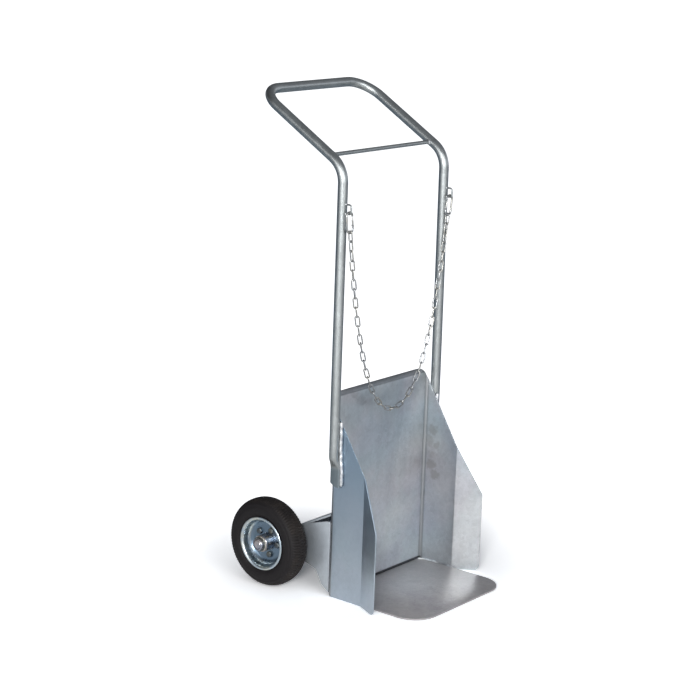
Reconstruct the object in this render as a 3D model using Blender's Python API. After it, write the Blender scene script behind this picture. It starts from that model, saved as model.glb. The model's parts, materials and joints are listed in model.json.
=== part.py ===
"""Gas cylinder trolley: a bent-tube handle frame on a folded sheet trough with a foot plate,
an axle carrier with two solid-rubber wheels, and a retaining chain hung from two snap hooks.

Metres, +Z up. The foot plate points to -Y, the handle leans to +Y, and X is the axle's direction.
The origin is on the floor, at the middle of the trolley's outline seen from above.
"""

import math

import bmesh
import bpy
from mathutils import Matrix, Vector

# Overall
HALF_W = 0.170          # outside of the trough's side walls, from the centre plane
SHEET = 0.0030          # trough and axle carrier sheet
BACK_Y = 0.00225        # rear face of the trough's back panel
GAP = 0.0003            # left between pieces that touch

# Trough
BACK_H = 0.468          # top of the back panel
CREASE_H = 0.449        # top of the side walls at the rear bends
FOLD_H = 0.296          # ... at the forward folds
SHOULDER_H = 0.187      # ... at the front edge of the flares
WALL_D = 0.0933         # depth of the straight side walls
FLARE_X, FLARE_Y = 0.0284, 0.0580
REAR_BEND_R = 0.010     # outside radius of the rear bends
TOP_CORNER = 0.032      # width of the back panel's rounded top corners
CORNER_DROP = 0.0118    # how far the top edge falls over such a corner
BEND_RISE = 0.007       # how far it still stands above the side's slant where the bend starts
FLARE_CORNER = 0.014    # radius at the bottom front of the flares
LIP_H, LIP_BACK = 0.008, 0.004   # the back panel's top edge leans back

# Foot plate
FOOT_D = 0.253          # front edge, forward of the back panel's rear face
FOOT_T = 0.004
FOOT_R = 0.060          # radius of the front corners

# Tube frame
TUBE_R, TUBE_WALL = 0.011, 0.0020
TUBE_Y = -0.0168        # centre of the uprights, from the back panel's rear face
TUBE_X_LOW, TUBE_X_TOP = 0.1814, 0.1784
STRAIGHT_Z = 0.450      # below this the uprights are parallel
TUBE_BOTTOM, FLAT_TOP, ROUND_FROM = 0.259, 0.300, 0.330
FLAT_HALF, FLAT_WIDE = 0.0036, 0.0135    # half thickness and half width of the squashed ends
BEND_Z = 0.9636         # where upright and handle leg would meet without the bend
GRIP_Y, GRIP_Z = 0.2232, 1.1053
TUBE_BEND_R = 0.060

# Weld beads beside the uprights' lower ends
BEAD_LOW, BEAD_HIGH, BEAD_LUMPS = 0.262, 0.410, 7
BEAD_R, BEAD_RIPPLE = 0.0024, 0.0010
BEAD_OUT = 0.0039       # from the side wall's outside to the bead's centre
BEAD_AT_FLAT, BEAD_AT_ROUND = 0.0175, 0.0133    # forward of the tube's centre

# Cross rod and chain eyes
ROD_R, ROD_Y, ROD_Z = 0.0045, 0.0204, 0.9855
EYE_Z, EYE_HALF, EYE_REACH, EYE_WIRE = 0.876, 0.010, 0.014, 0.002

# Snap hooks and chain
HOOK_Y = -0.0365        # from the back panel's rear face
HOOK_WIRE, HOOK_L, HOOK_HALF_W = 0.00225, 0.0455, 0.0095
HOOK_TILT = math.radians(7.0)
GATE_HALF, GATE_WIRE, GATE_GAP = 0.0105, 0.0019, 0.0008
LINK_WIRE, LINK_W, LINK_PITCH = 0.0016, 0.0121, 0.0216
STRANDS = (6, 6, 7, 7, 7, 6, 6)
LINK_BITE = 0.0023      # centre distance of the two wires where links of one strand meet
STRAND_STEP = 0.0019    # extra bite where one strand hangs free in the next

# Axle carrier
CARRIER_X = 0.166       # outside of its cheeks
CARRIER_TOP, CARRIER_REAR = 0.190, 0.172
CARRIER_SLOPE = 0.51    # how much its top falls per length backwards
CARRIER_FOOT = 0.006    # lowest point of the cheeks, against the back panel
CHEEK_KNEE = ((0.020, 0.020), (0.038, 0.052))   # (back from the panel, height) of their lower edge
NOTCH_L, NOTCH_Z = 0.058, 0.171    # relief where the cheeks' bend meets the back panel
NOSE_R = 0.024          # cheek radius around the axle

# Wheels; profiles are (distance from the wheel's middle plane, radius)
WHEEL_R, WHEEL_Z, WHEEL_BACK = 0.1015, 0.1015, 0.147
WHEEL_X = 0.204
AXLE_R, BORE_R, AXLE_END = 0.0100, 0.0104, 0.2425
HUB_R, HUB_BORE, HUB_HALF = 0.0190, 0.0133, 0.0275
TYRE_SIDE = ((0.0070, WHEEL_R), (0.0180, 0.0980), (0.0270, 0.0880), (0.0290, 0.0740),
             (0.0250, 0.0610), (0.0215, 0.0575))
RIM_HOLE = HUB_R + 0.0004
RIM_HALF = ((0.0003, RIM_HOLE), (0.0003, 0.0462), (0.0100, 0.0540), (0.0225, 0.0560),
            (0.0256, 0.0612), (0.0272, 0.0600), (0.0262, 0.0560), (0.0225, 0.0535),
            (0.0105, 0.0515), (0.0024, 0.0440), (0.0024, RIM_HOLE))
BUSH_L, BUSH_FLANGE, BUSH_FLANGE_R = 0.016, 0.0022, 0.0165
WASHER_R, WASHER_T, SPACER_R = 0.0170, 0.0018, 0.0150
CAP_L, CAP_R = 0.0066, 0.0145
BOLTS, BOLT_R, BOLT_RING, HEX_R = 5, 0.0040, 0.0300, 0.0075
BOLT_TURN = math.radians(68)    # the first bolt's place, up from straight ahead
SEAT, HEAD_T, NUT_T, THREAD_T = 0.0027, 0.0053, 0.0060, 0.0025


def clear_scene():
    for obj in list(bpy.data.objects):
        bpy.data.objects.remove(obj)


def material(name, color, rough, metal):
    mat = bpy.data.materials.new(name)
    mat.use_nodes = True
    shader = mat.node_tree.nodes["Principled BSDF"]
    shader.inputs["Base Color"].default_value = (*color, 1.0)
    shader.inputs["Roughness"].default_value = rough
    shader.inputs["Metallic"].default_value = metal
    return mat


def add_object(name, bm, mat, origin=(0, 0, 0), smooth=True):
    """Makes the object of a bmesh given in world coordinates, with its origin at the given point."""
    bmesh.ops.translate(bm, verts=bm.verts, vec=-Vector(origin))
    bmesh.ops.recalc_face_normals(bm, faces=bm.faces)
    mesh = bpy.data.meshes.new(name)
    bm.to_mesh(mesh)
    bm.free()
    mesh.materials.append(mat)
    if smooth:
        mesh.shade_smooth()
        mesh.set_sharp_from_angle(angle=math.radians(35))
    obj = bpy.data.objects.new(name, mesh)
    obj.location = origin
    bpy.context.collection.objects.link(obj)
    return obj


def skin(rings, closed=False, bm=None):
    """Bridges rings of equally many points; an open row of rings gets its two ends filled."""
    bm = bm or bmesh.new()
    rows = [[bm.verts.new(p) for p in ring] for ring in rings]
    count = len(rows[0])
    pairs = list(zip(rows, rows[1:])) + ([(rows[-1], rows[0])] if closed else [])
    for a, b in pairs:
        for i in range(count):
            j = (i + 1) % count
            bm.faces.new((a[i], a[j], b[j], b[i]))
    if not closed:
        bm.faces.new(rows[0])
        bm.faces.new(rows[-1])
    return bm


def circle(center, u, v, radius, sides, turn=0.0):
    """Points of a circle in the plane of the unit vectors u and v."""
    steps = [turn + 2 * math.pi * i / sides for i in range(sides)]
    return [center + u * (radius * math.cos(t)) + v * (radius * math.sin(t)) for t in steps]


def sweep(path, normal, radius, sides, closed=False, bm=None):
    """A round wire along a path that lies in the plane with the given normal."""
    normal = Vector(normal).normalized()
    rings = []
    for i, point in enumerate(path):
        before = path[i - 1] if i or closed else path[0]
        after = path[(i + 1) % len(path)] if i + 1 < len(path) or closed else path[-1]
        side = (after - before).normalized().cross(normal)
        rings.append(circle(point, side, normal, radius, sides, math.pi / sides))
    return skin(rings, closed, bm)


def rounded(points, radius, steps):
    """The polyline with every inner corner replaced by an arc."""
    out = [points[0]]
    for before, corner, after in zip(points, points[1:], points[2:]):
        a, b = (before - corner).normalized(), (after - corner).normalized()
        half = a.angle(b) / 2
        center = corner + (a + b).normalized() * (radius / math.sin(half))
        start, end = (corner + d * (radius / math.tan(half)) - center for d in (a, b))
        out += [center + start.slerp(end, k / steps) * radius for k in range(steps + 1)]
    return out + [points[-1]]


def turned(profile, x_sign, y, z, sides, turn=math.pi / 2):
    """A solid turned about the axle's direction from a closed profile of (x, radius) points."""
    rings = []
    for k in range(sides):
        t = turn + 2 * math.pi * k / sides
        rings.append([Vector((x_sign * x, y + r * math.cos(t), z + r * math.sin(t))) for x, r in profile])
    return skin(rings, closed=True)


def rod_along_x(x0, x1, y, z, radius, sides, bm=None):
    axes = Vector((0, 1, 0)), Vector((0, 0, 1))
    rings = [circle(Vector((x, y, z)), *axes, radius, sides, math.pi / 2) for x in (x0, x1)]
    return skin(rings, bm=bm)


def trough_station(x, y, nx, ny, low, high, lip):
    """One cross-section of the folded sheet: up the outside, over the edge and down the inside."""
    inner_x, inner_y = x - nx * SHEET, y - ny * SHEET
    back = LIP_BACK * lip
    return [Vector((x, y, low)), Vector((x, y, high - LIP_H)), Vector((x, y + back, high)),
            Vector((inner_x, inner_y + back, high)), Vector((inner_x, inner_y, high - LIP_H)),
            Vector((inner_x, inner_y, low))]


def wall_top(depth):
    """Height of the side's slanting top edge at a depth forward of the rear face."""
    if depth < WALL_D:
        return CREASE_H + (FOLD_H - CREASE_H) * depth / WALL_D
    return FOLD_H + (SHOULDER_H - FOLD_H) * (depth - WALL_D) / FLARE_Y


def trough(mat):
    """Back panel, two side walls and two flares, as one sheet followed from the left flare
    round to the right one."""
    half = [(x, 0.0, 0.0, 1.0, 0.0, BACK_H) for x in (0.0, HALF_W - TOP_CORNER)]
    flat_end = HALF_W - REAR_BEND_R
    for k in (1, 2, 3):                             # rounded top corner of the back panel
        x = HALF_W - TOP_CORNER + (flat_end - HALF_W + TOP_CORNER) * k / 3
        half.append((x, 0.0, 0.0, 1.0, 0.0, BACK_H - CORNER_DROP * (k / 3) ** 2))
    high = BACK_H - CORNER_DROP
    for k in (1, 2, 3, 4):                          # rear bend
        t = math.pi / 2 * k / 4
        depth = REAR_BEND_R * (1 - math.cos(t))
        high = min(high, wall_top(depth) + BEND_RISE * (1 - k / 4) ** 2)
        half.append((flat_end + REAR_BEND_R * math.sin(t), -depth, math.sin(t), math.cos(t), 0.0, high))
    slant = math.hypot(FLARE_X, FLARE_Y)
    nx, ny = FLARE_Y / slant, FLARE_X / slant       # outward normal of the flare
    mid_nx, mid_ny = 1.0, math.tan(math.atan2(ny, nx) / 2)
    half.append((HALF_W, -WALL_D, mid_nx, mid_ny, 0.0, FOLD_H))
    for k in range(5):                              # bottom front corner of the flare
        t = math.pi / 2 * k / 4
        share = (slant - FLARE_CORNER * (1 - math.sin(t))) / slant
        low = FLARE_CORNER * (1 - math.cos(t))
        half.append((HALF_W + FLARE_X * share, -WALL_D - FLARE_Y * share, nx, ny, low,
                     wall_top(WALL_D + FLARE_Y * share)))
    both = [(-x, y, -u, v, lo, hi) for x, y, u, v, lo, hi in reversed(half[1:])] + half
    rings = []
    for x, y, u, v, lo, hi in both:
        lip = min(max((flat_end - abs(x)) / TOP_CORNER, 0.0), 1.0)
        rings.append(trough_station(x, y + BACK_Y, u, v, lo, hi, lip))
    return add_object("trough", skin(rings), mat, (0, BACK_Y, 0))


def foot_plate(mat):
    """Flat plate between the side walls, with two large front corner radii."""
    x = HALF_W - SHEET - GAP
    rear, front = BACK_Y - SHEET - GAP, BACK_Y - FOOT_D
    clip = REAR_BEND_R                              # rear corners cut to clear the trough's bends
    ring = rounded([Vector((-x, rear - clip, 0)), Vector((-x, front, 0)), Vector((x, front, 0)),
                    Vector((x, rear - clip, 0))], FOOT_R, 9)
    ring += [Vector((x - clip, rear, 0)), Vector((-x + clip, rear, 0))]
    rings = [[p + Vector((0, 0, z)) for p in ring] for z in (0.0, FOOT_T)]
    return add_object("foot_plate", skin(rings), mat)


def frame_tube(mat):
    """One bent tube: squashed lower end, upright, handle leg, grip, and the same back down."""
    y = BACK_Y + TUBE_Y
    start = Vector((-TUBE_X_LOW, y, STRAIGHT_Z))
    bend, corner = Vector((-TUBE_X_TOP, y, BEND_Z)), Vector((-TUBE_X_TOP, BACK_Y + GRIP_Y, GRIP_Z))
    mirror = Matrix.Diagonal((-1, 1, 1))
    path = rounded([start, bend, corner, mirror @ corner, mirror @ bend, mirror @ start],
                   TUBE_BEND_R, 7)
    sides, outer, inner = 14, [], []
    heights = (TUBE_BOTTOM, FLAT_TOP, 0.315, ROUND_FROM)
    for rings, inset in ((outer, 0.0), (inner, TUBE_WALL)):
        rings += [lower_section(-1, z, sides, inset) for z in heights]
        u = Vector((-1, 0, 0))
        for i, point in enumerate(path):
            before, after = path[max(i - 1, 0)], path[min(i + 1, len(path) - 1)]
            along = (after - before).normalized()
            if i in (0, len(path) - 1):
                along = Vector((0, 0, 1 if i == 0 else -1))
            u = (u - along * u.dot(along)).normalized()
            rings.append(circle(point, u, u.cross(along), TUBE_R - inset, sides))
        rings += [lower_section(1, z, sides, inset) for z in reversed(heights)]
    return add_object("frame_tube", skin(outer + inner[::-1], closed=True), mat)


def roundness(z):
    """0 where an upright's lower end is squashed flat, 1 where it is round."""
    share = min(max((z - FLAT_TOP) / (ROUND_FROM - FLAT_TOP), 0.0), 1.0)
    return share * share * (3 - 2 * share)


def lower_section(side, z, sides, inset):
    """Section of an upright's lower end at height z: round above, squashed flat below."""
    share = roundness(z)
    half_x = FLAT_HALF + (TUBE_R - FLAT_HALF) * share
    half_y = FLAT_WIDE + (TUBE_R - FLAT_WIDE) * share
    center = Vector((side * (TUBE_X_LOW - TUBE_R + half_x), BACK_Y + TUBE_Y, z))
    half_x, half_y = half_x - inset, half_y - inset
    turns = [2 * math.pi * i / sides for i in range(sides)]
    return [center + Vector((side * half_x * math.cos(t), half_y * math.sin(t), 0)) for t in turns]


def weld_bead(name, side, mat):
    """Lumpy bead in the corner between an upright's lower end and the side wall."""
    rings = []
    steps = 3 * BEAD_LUMPS
    for k in range(steps + 1):
        z = BEAD_LOW + (BEAD_HIGH - BEAD_LOW) * k / steps
        radius = BEAD_R + BEAD_RIPPLE * abs(math.sin(math.pi * BEAD_LUMPS * k / steps))
        forward = BEAD_AT_FLAT + (BEAD_AT_ROUND - BEAD_AT_FLAT) * roundness(z)
        center = Vector((side * (HALF_W + BEAD_OUT), BACK_Y + TUBE_Y - forward, z))
        rings.append(circle(center, Vector((1, 0, 0)), Vector((0, 1, 0)), radius, 6))
    return add_object(name, skin(rings), mat)


def chain_eye(name, side, mat):
    """U of wire welded to the front of an upright; the snap hook hangs in it."""
    x, root = side * tube_x(EYE_Z), BACK_Y + TUBE_Y - TUBE_R - GAP
    front = BACK_Y + TUBE_Y - TUBE_R - EYE_REACH
    ends = [(root, EYE_Z + EYE_HALF), (front, EYE_Z + EYE_HALF),
            (front, EYE_Z - EYE_HALF), (root, EYE_Z - EYE_HALF)]
    path = rounded([Vector((x, y, z)) for y, z in ends], 0.0055, 5)
    return add_object(name, sweep(path, (1, 0, 0), EYE_WIRE, 8), mat)


def tube_x(z):
    """Distance of an upright's centre line from the centre plane at height z."""
    share = (z - STRAIGHT_Z) / (BEND_Z - STRAIGHT_Z)
    return TUBE_X_LOW + (TUBE_X_TOP - TUBE_X_LOW) * share


def hook_frame(side):
    """Top contact point of a snap hook, the unit vectors down its length and towards the centre
    plane, and the middle of its oval."""
    top = Vector((side * tube_x(EYE_Z), BACK_Y + HOOK_Y,
                  EYE_Z - EYE_HALF + EYE_WIRE + GAP + HOOK_WIRE))
    down = Vector((-side * math.sin(HOOK_TILT), 0, -math.cos(HOOK_TILT)))
    inward = Vector((-side * math.cos(HOOK_TILT), 0, math.sin(HOOK_TILT)))
    return top, down, inward, top + down * (HOOK_L / 2)


def snap_hook(name, side, mat):
    """Oval wire hook, open on its inner side where the gate closes it."""
    top, down, inward, middle = hook_frame(side)
    r, straight = HOOK_HALF_W, HOOK_L / 2 - HOOK_HALF_W
    end = GATE_HALF + GATE_GAP
    path = [middle + inward * r - down * end]
    for k in range(9):                              # top arc, from the inner side outwards
        t = math.pi * k / 8
        path.append(middle - down * (straight + r * math.sin(t)) + inward * (r * math.cos(t)))
    for k in range(9):                              # bottom arc, back to the inner side
        t = math.pi * k / 8
        path.append(middle + down * (straight + r * math.sin(t)) - inward * (r * math.cos(t)))
    path.append(middle + inward * r + down * end)
    return add_object(name, sweep(path, (0, 1, 0), HOOK_WIRE, 8), mat, top)


def hook_gate(name, side, mat):
    """Straight gate with round ends; it turns inwards about its lower end."""
    top, down, inward, middle = hook_frame(side)
    low = middle + inward * HOOK_HALF_W + down * (GATE_HALF - GATE_WIRE)
    rings = []
    across = Vector((0, 1, 0))
    for offset, radius in ((-1.0, 0.35), (-0.75, 0.7), (0.0, 1.0)):
        rings.append(circle(low - down * (GATE_WIRE * offset), inward, across, GATE_WIRE * radius, 8))
    for offset, radius in ((0.0, 1.0), (0.6, 0.7)):
        point = low - down * (2 * GATE_HALF - 2 * GATE_WIRE + GATE_WIRE * offset)
        rings.append(circle(point, inward, across, GATE_WIRE * radius, 8))
    return add_object(name, skin(rings), mat, low)


def chain_ends():
    """Where the chain's wire centre starts, above the bottom of the right snap hook's oval."""
    top, down, _, _ = hook_frame(1)
    bottom = top + down * HOOK_L
    return bottom - down * (HOOK_WIRE + LINK_WIRE + GAP)


def link_stations():
    """Start and end of every link along the chain's length, symmetric about its middle."""
    spans, s = [], 0.0
    for strand, count in enumerate(STRANDS):
        for _ in range(count):
            spans.append((strand, s, s + LINK_PITCH + LINK_BITE))
            s += LINK_PITCH
        s -= STRAND_STEP
    total = spans[-1][2]
    return [(strand, a - total / 2, b - total / 2) for strand, a, b in spans], total / 2


def catenary(half_span, half_length):
    """Parameter of the catenary with the given half span and half length, by bisection."""
    low, high = 0.01, 1.0
    for _ in range(60):
        a = (low + high) / 2
        if a * math.sinh(half_span / a) > half_length:
            low = a
        else:
            high = a
    return a


def link_ring(start, end, flat, bm):
    """One long link from start to end, lying in the plane of its length and the flat vector."""
    along = (end - start).normalized()
    flat = (flat - along * flat.dot(along)).normalized()
    r = LINK_W / 2 - LINK_WIRE
    path = []
    for base, sign in ((end, 1), (start, -1)):
        for k in range(4):
            t = math.pi * (k / 3 - 0.5)
            point = base - along * (sign * r) + along * (sign * r * math.cos(t))
            path.append(point + flat * (sign * r * math.sin(t)))
    return sweep(path, along.cross(flat), LINK_WIRE, 5, closed=True, bm=bm)


def chain(mat):
    """Seven strands of welded links, hung on a catenary between the two snap hooks."""
    right = chain_ends()
    stations, half_length = link_stations()
    a = catenary(right.x, half_length)
    floor = right.z - (math.hypot(a, half_length) - a)

    def at(s):
        return Vector((a * math.asinh(s / a), right.y, floor + math.hypot(a, s) - a))

    meshes = {}
    for i, (strand, s0, s1) in enumerate(stations):
        start, end = at(s0), at(s1)
        flat = (end - start).cross(Vector((0, 1, 0))) if i % 2 else Vector((0, 1, 0))
        key = (strand, i % 2)
        meshes[key] = link_ring(start, end, flat, meshes.get(key))
    strands = []
    for strand in range(len(STRANDS)):
        name = "chain_strand_%d" % (strand + 1)
        obj = add_object(name, meshes[(strand, 0)], mat, (0, right.y, right.z))
        other = add_object(name + "_cross_links", meshes[(strand, 1)], mat, (0, right.y, right.z))
        other.hide_render, other.display_type = True, "WIRE"
        union = obj.modifiers.new("join_links", "BOOLEAN")
        union.operation, union.object, union.solver = "UNION", other, "EXACT"
        strands.append(obj)
    return strands


def carrier_top(y):
    """Height of the axle carrier's sloping top."""
    return CARRIER_TOP - CARRIER_SLOPE * (y - BACK_Y)


def prism(points, x0, x1):
    """An outline of (y, z) points, extruded along X."""
    return skin([[Vector((x, y, z)) for y, z in points] for x in (x0, x1)])


def axle_carrier(mat):
    """Folded sheet behind the trough: a sloping top with two cheeks bent down at its ends."""
    y0, y1 = BACK_Y + GAP, BACK_Y + CARRIER_REAR
    wheel_y = BACK_Y + WHEEL_BACK
    outline = [(y0, CARRIER_FOOT)] + [(y0 + back, z) for back, z in CHEEK_KNEE]
    for k in range(9):                              # round the axle, from below to behind
        t = math.pi * (1.35 + 0.65 * k / 8)
        outline.append((wheel_y + NOSE_R * math.cos(t), WHEEL_Z + NOSE_R * math.sin(t)))
    outline += [(y1, carrier_top(y1)), (y0, carrier_top(y0))]
    obj = add_object("axle_carrier", prism(outline, -CARRIER_X, CARRIER_X), mat, (0, BACK_Y, 0))

    ahead, behind, below = y0 - 0.02, y1 + 0.05, -0.05      # where the cutters end, clear of it
    upright_t = SHEET * math.hypot(1, CARRIER_SLOPE)        # the sloping sheet's upright thickness
    hollow = [(ahead, below), (behind, below), (behind, carrier_top(behind) - upright_t),
              (ahead, carrier_top(ahead) - upright_t)]
    bend_t = 1.5 * SHEET                                    # left under the fold line
    notch = [(ahead, NOTCH_Z), (y0 + 0.010, NOTCH_Z), (y0 + NOTCH_L, carrier_top(y0 + NOTCH_L) - bend_t),
             (ahead, carrier_top(ahead) - bend_t)]
    beyond = CARRIER_X + 0.03
    cut(obj, "carrier_hollow", prism(hollow, SHEET - CARRIER_X, CARRIER_X - SHEET))
    cut(obj, "carrier_notch", prism(notch, -beyond, beyond))
    bore = rod_along_x(-beyond, beyond, wheel_y, WHEEL_Z, AXLE_R + GAP, 32)
    cut(obj, "carrier_bore", bore)
    return obj


def cut(obj, name, bm):
    """Takes a hidden cutter out of an object."""
    cutter = add_object(name, bm, obj.data.materials[0], smooth=False)
    cutter.hide_render, cutter.display_type = True, "WIRE"
    boolean = obj.modifiers.new(name, "BOOLEAN")
    boolean.operation, boolean.object, boolean.solver = "DIFFERENCE", cutter, "EXACT"


def bolt_place(k):
    """Place (y, z) of a rim bolt's axis."""
    t = BOLT_TURN + 2 * math.pi * k / BOLTS
    return BACK_Y + WHEEL_BACK - BOLT_RING * math.cos(t), WHEEL_Z + BOLT_RING * math.sin(t)


def on_wheel(name, profile, side, sides, mat, flip=1):
    """A turned piece of a wheel; flip -1 puts it on the wheel's inner side."""
    y, z = BACK_Y + WHEEL_BACK, WHEEL_Z
    points = [(WHEEL_X + flip * dx, r) for dx, r in profile]
    return add_object(name, turned(points, side, y, z, sides), mat, (side * WHEEL_X, y, z))


def ring_profile(start, end, bore, radius):
    return (start, bore), (end, bore), (end, radius), (start, radius)


def rim(name, side, flip, mat):
    """One pressed half of a rim, with its bolt holes."""
    obj = on_wheel(name, RIM_HALF, side, 28, mat, flip)
    holes = bmesh.new()
    for k in range(BOLTS):
        x0, x1 = side * (WHEEL_X - 0.02), side * (WHEEL_X + 0.02)
        rod_along_x(x0, x1, *bolt_place(k), BOLT_R + 0.0004, 12, holes)
    cut(obj, "holes_in_" + name, holes)


def rim_bolt(name, side, k, mat):
    """Bolt through both rim halves: hexagon head outside, hexagon nut inside, thread beyond it."""
    y, z = bolt_place(k)
    nut_end = -SEAT - NUT_T
    rings = []
    for dx, hexagon in ((SEAT + HEAD_T, True), (SEAT, True), (SEAT, False), (-SEAT, False),
                        (-SEAT, True), (nut_end, True), (nut_end, False), (nut_end - THREAD_T, False)):
        ring = []
        for i in range(12):
            t = math.pi * i / 6
            flat = HEX_R * (math.cos(math.pi / 6) if i % 2 else 1.0)
            radius = flat if hexagon else BOLT_R
            ring.append(Vector((side * (WHEEL_X + dx), y + radius * math.cos(t), z + radius * math.sin(t))))
        rings.append(ring)
    add_object(name, skin(rings), mat, (side * WHEEL_X, y, z))


def wheel(side, label, mats):
    """Solid tyre on a bolted rim of two pressed halves, with a hub tube on two plain bushes."""
    zinc = mats["zinc"]
    tyre = list(TYRE_SIDE) + [(-dx, r) for dx, r in reversed(TYRE_SIDE)]
    on_wheel("tyre_" + label, tyre, side, 36, mats["rubber"])
    rim("rim_outer_" + label, side, 1, zinc)
    rim("rim_inner_" + label, side, -1, zinc)
    on_wheel("hub_tube_" + label, ring_profile(-HUB_HALF, HUB_HALF, HUB_BORE, HUB_R), side, 24, zinc)
    end = HUB_HALF + GAP
    in_hub, flange = end - BUSH_L, end + BUSH_FLANGE
    bush = ((in_hub, BORE_R), (flange, BORE_R), (flange, BUSH_FLANGE_R), (end, BUSH_FLANGE_R),
            (end, HUB_BORE - GAP), (in_hub, HUB_BORE - GAP))
    on_wheel("bush_outer_" + label, bush, side, 24, mats["nylon"])
    on_wheel("bush_inner_" + label, bush, side, 24, mats["nylon"], -1)
    for k in range(BOLTS):
        rim_bolt("rim_bolt_%s_%d" % (label, k + 1), side, k, zinc)


def axle_fittings(side, label, mat):
    """What holds a wheel in place on the axle: spacer inside, washer and pressed cap outside."""
    play = HUB_HALF + BUSH_FLANGE + 2 * GAP
    spacer = ring_profile(CARRIER_X + GAP - WHEEL_X, -play, BORE_R, SPACER_R)
    on_wheel("wheel_spacer_" + label, spacer, side, 20, mat)
    on_wheel("washer_" + label, ring_profile(play, play + WASHER_T, BORE_R, WASHER_R), side, 20, mat)
    start = play + WASHER_T + GAP
    end = start + CAP_L
    cap = ((start, BORE_R), (end - 0.0020, BORE_R), (end, BORE_R + 0.0004), (end, BORE_R + 0.0008),
           (end - 0.0015, CAP_R - 0.0010), (start + 0.0016, CAP_R), (start, CAP_R))
    on_wheel("axle_cap_" + label, cap, side, 20, mat)


def build():
    clear_scene()
    galvanised = material("galvanised_steel", (0.50, 0.53, 0.57), 0.42, 0.85)
    tube = material("galvanised_tube", (0.47, 0.50, 0.52), 0.40, 0.85)
    plate = material("foot_plate_steel", (0.46, 0.46, 0.48), 0.45, 0.85)
    weld = material("weld_steel", (0.40, 0.40, 0.41), 0.60, 0.70)
    chain_mat = material("chain_zinc", (0.42, 0.43, 0.42), 0.38, 0.90)
    wheels = {"rubber": material("solid_rubber", (0.045, 0.040, 0.040), 0.80, 0.0),
              "zinc": material("zinc_plate", (0.62, 0.66, 0.70), 0.30, 0.95),
              "nylon": material("nylon", (0.75, 0.73, 0.66), 0.55, 0.0)}
    trough(galvanised)
    foot_plate(plate)
    frame_tube(tube)
    add_object("cross_rod", rod_along_x(-tube_x(BEND_Z) + TUBE_R + GAP, tube_x(BEND_Z) - TUBE_R - GAP,
                                        BACK_Y + ROD_Y, ROD_Z, ROD_R, 12), tube)
    axle_carrier(galvanised)
    wheel_y = BACK_Y + WHEEL_BACK
    add_object("axle", rod_along_x(-AXLE_END, AXLE_END, wheel_y, WHEEL_Z, AXLE_R, 32), wheels["zinc"],
               (0, wheel_y, WHEEL_Z))
    for side, label in ((-1, "left"), (1, "right")):
        weld_bead("weld_bead_" + label, side, weld)
        chain_eye("chain_eye_" + label, side, tube)
        snap_hook("snap_hook_" + label, side, chain_mat)
        hook_gate("hook_gate_" + label, side, chain_mat)
        wheel(side, label, wheels)
        axle_fittings(side, label, wheels["zinc"])
    chain(chain_mat)


build()
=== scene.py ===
"""Visual model of the gas cylinder trolley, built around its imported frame.

Metres, +Z up; the foot plate points to -Y, the handle leans to +Y, and X runs along the axle.
Every piece is real mesh, placed from the frame's boxes and joints.
"""

import json
import math
import random

import bmesh
import bpy
from mathutils import Matrix, Quaternion, Vector, noise

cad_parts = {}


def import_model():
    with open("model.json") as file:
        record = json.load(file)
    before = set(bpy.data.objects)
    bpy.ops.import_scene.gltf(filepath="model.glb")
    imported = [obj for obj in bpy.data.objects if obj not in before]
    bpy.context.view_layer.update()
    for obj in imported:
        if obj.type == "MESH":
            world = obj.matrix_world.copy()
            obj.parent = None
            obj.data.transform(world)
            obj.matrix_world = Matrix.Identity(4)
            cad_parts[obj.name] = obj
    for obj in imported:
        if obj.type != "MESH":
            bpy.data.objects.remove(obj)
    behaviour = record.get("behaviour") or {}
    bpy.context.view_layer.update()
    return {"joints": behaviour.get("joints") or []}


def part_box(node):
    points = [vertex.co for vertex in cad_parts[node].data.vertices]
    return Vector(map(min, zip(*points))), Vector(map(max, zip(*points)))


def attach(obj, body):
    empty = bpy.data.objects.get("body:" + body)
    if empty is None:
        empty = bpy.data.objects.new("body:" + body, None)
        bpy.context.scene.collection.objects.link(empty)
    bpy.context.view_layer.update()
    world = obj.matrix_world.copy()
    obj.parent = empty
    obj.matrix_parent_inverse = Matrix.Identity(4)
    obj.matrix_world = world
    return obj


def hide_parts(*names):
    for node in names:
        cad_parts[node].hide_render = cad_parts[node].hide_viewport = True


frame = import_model()

X, Y, Z = Vector((1, 0, 0)), Vector((0, 1, 0)), Vector((0, 0, 1))
SIDES = ((-1, "left"), (1, "right"))
rng = random.Random(8)
noise.seed_set(8)                                   # or noise_vector takes its seed from the clock


def joint(name):
    return next(j for j in frame["joints"] if j["name"] == name)


# Places read from the frame
trough_low, trough_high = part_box("trough")
plate_low, plate_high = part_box("foot_plate")
tube_low, tube_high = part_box("frame_tube")
axle_low, axle_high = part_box("axle")
carrier_low, carrier_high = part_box("axle_carrier")
rod_low, rod_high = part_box("cross_rod")
hub_low, hub_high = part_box("hub_tube_right")
tyre_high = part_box("tyre_right")[1]
bead_low, bead_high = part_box("weld_bead_right")
eye_low, eye_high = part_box("chain_eye_right")
swing = Vector(joint("chain_swing")["pos_m"])

# Sheet metal
SHEET, LIP_H, LIP_BACK = 0.0030, 0.008, 0.004
FLARE_X, FLARE_Y = 0.0284, 0.0580
HALF_W = trough_high.x - FLARE_X
BACK_Y = trough_high.y - LIP_BACK
BACK_H, CREASE_H, FOLD_H, SHOULDER_H = trough_high.z, 0.449, 0.296, 0.187
WALL_D = BACK_Y - trough_low.y - FLARE_Y
REAR_BEND_R, TOP_CORNER, CORNER_DROP, BEND_RISE = 0.010, 0.032, 0.0118, 0.007
FOLD_R, FLARE_CORNER = 0.006, 0.014
FOOT_R = 0.060
GAP = 0.0003
WAVE = 0.0003                                       # about half the height of the trough's waves
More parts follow.
